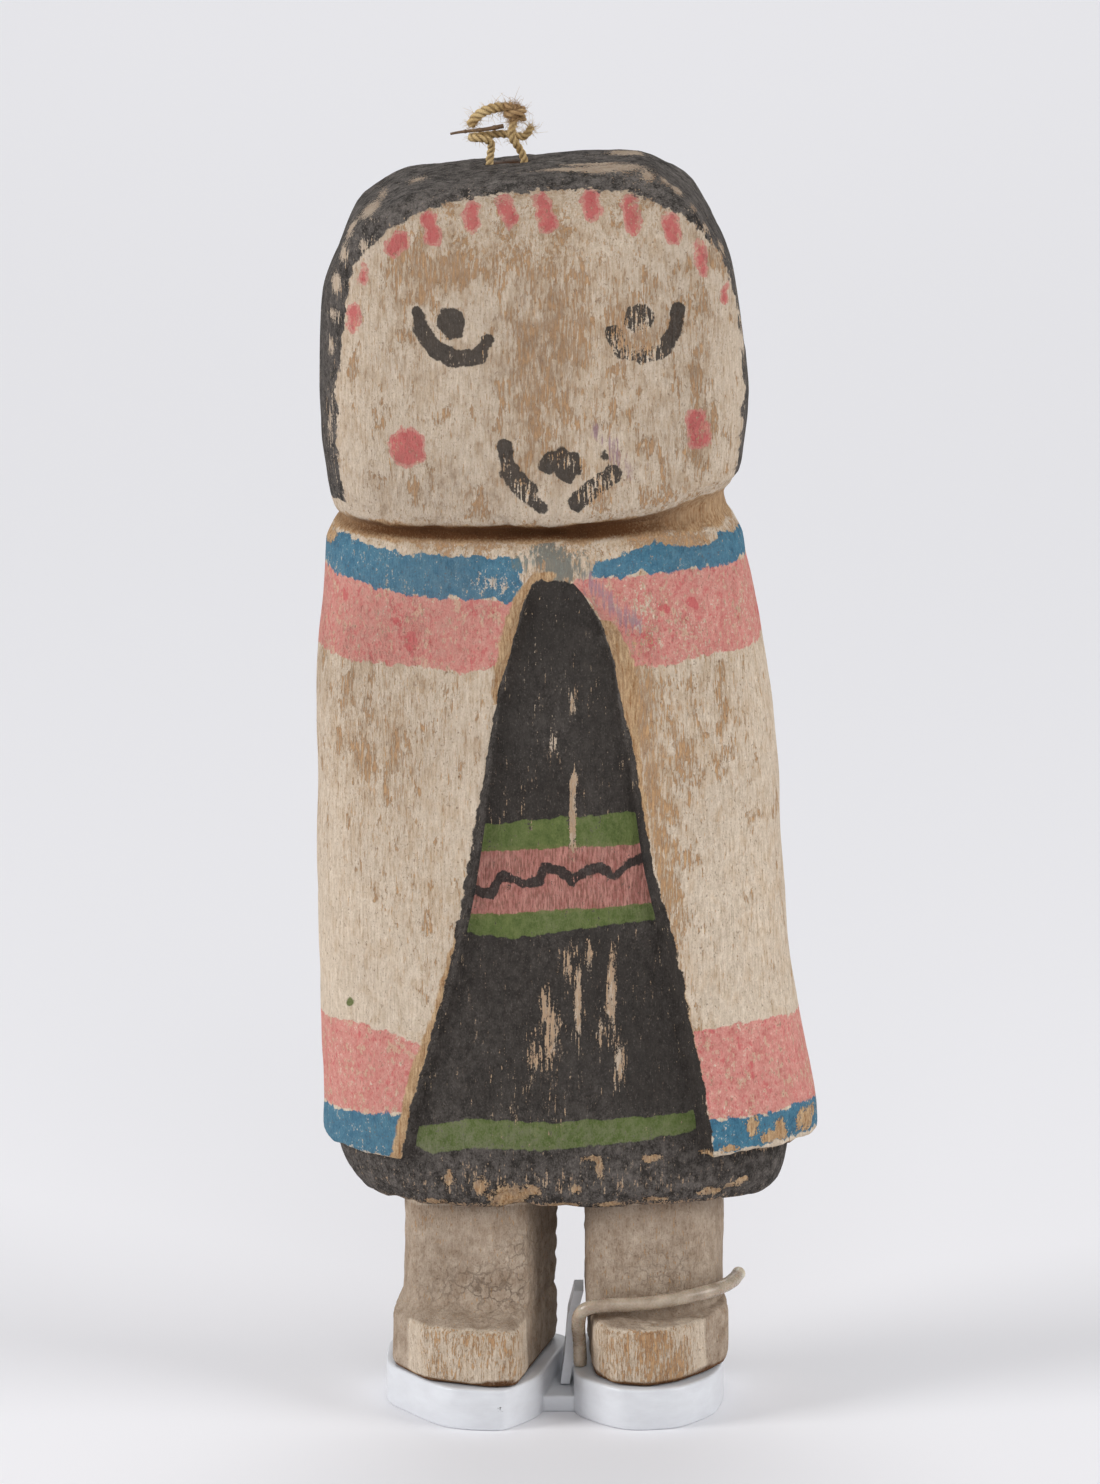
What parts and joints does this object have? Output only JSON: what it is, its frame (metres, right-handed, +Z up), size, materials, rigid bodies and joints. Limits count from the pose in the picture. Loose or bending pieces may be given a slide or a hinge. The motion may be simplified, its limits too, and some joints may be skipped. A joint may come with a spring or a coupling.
{
  "type": "kachina doll on museum mount",
  "caption": "Carved and painted wooden doll with a squared head, an open cape over a dress and short legs, standing on a two-lobed mount with an upright and a wire clip.",
  "frame": {"origin": "centre of the underside of the box round the doll and its mount", "axes": "+Z up, the doll faces -Y, +X to the viewer's right when looking at the face"},
  "size_m": [0.0754, 0.041, 0.1974],
  "materials": {
    "painted_wood": "matt mineral paint worn to bare wood",
    "white_metal": "satin white paint",
    "wire_sleeve": "soft sheen sleeve",
    "twine_fibre": "twisted plant fibre",
    "twig_stem": "dry stem"
  },
  "bodies": {
    "root": {"doll": "painted_wood", "mount_base": "white_metal", "mount_post": "white_metal", "wire_clip": "wire_sleeve", "twine_loop": "twine_fibre", "twig": "twig_stem"}
  },
  "joints": []
}
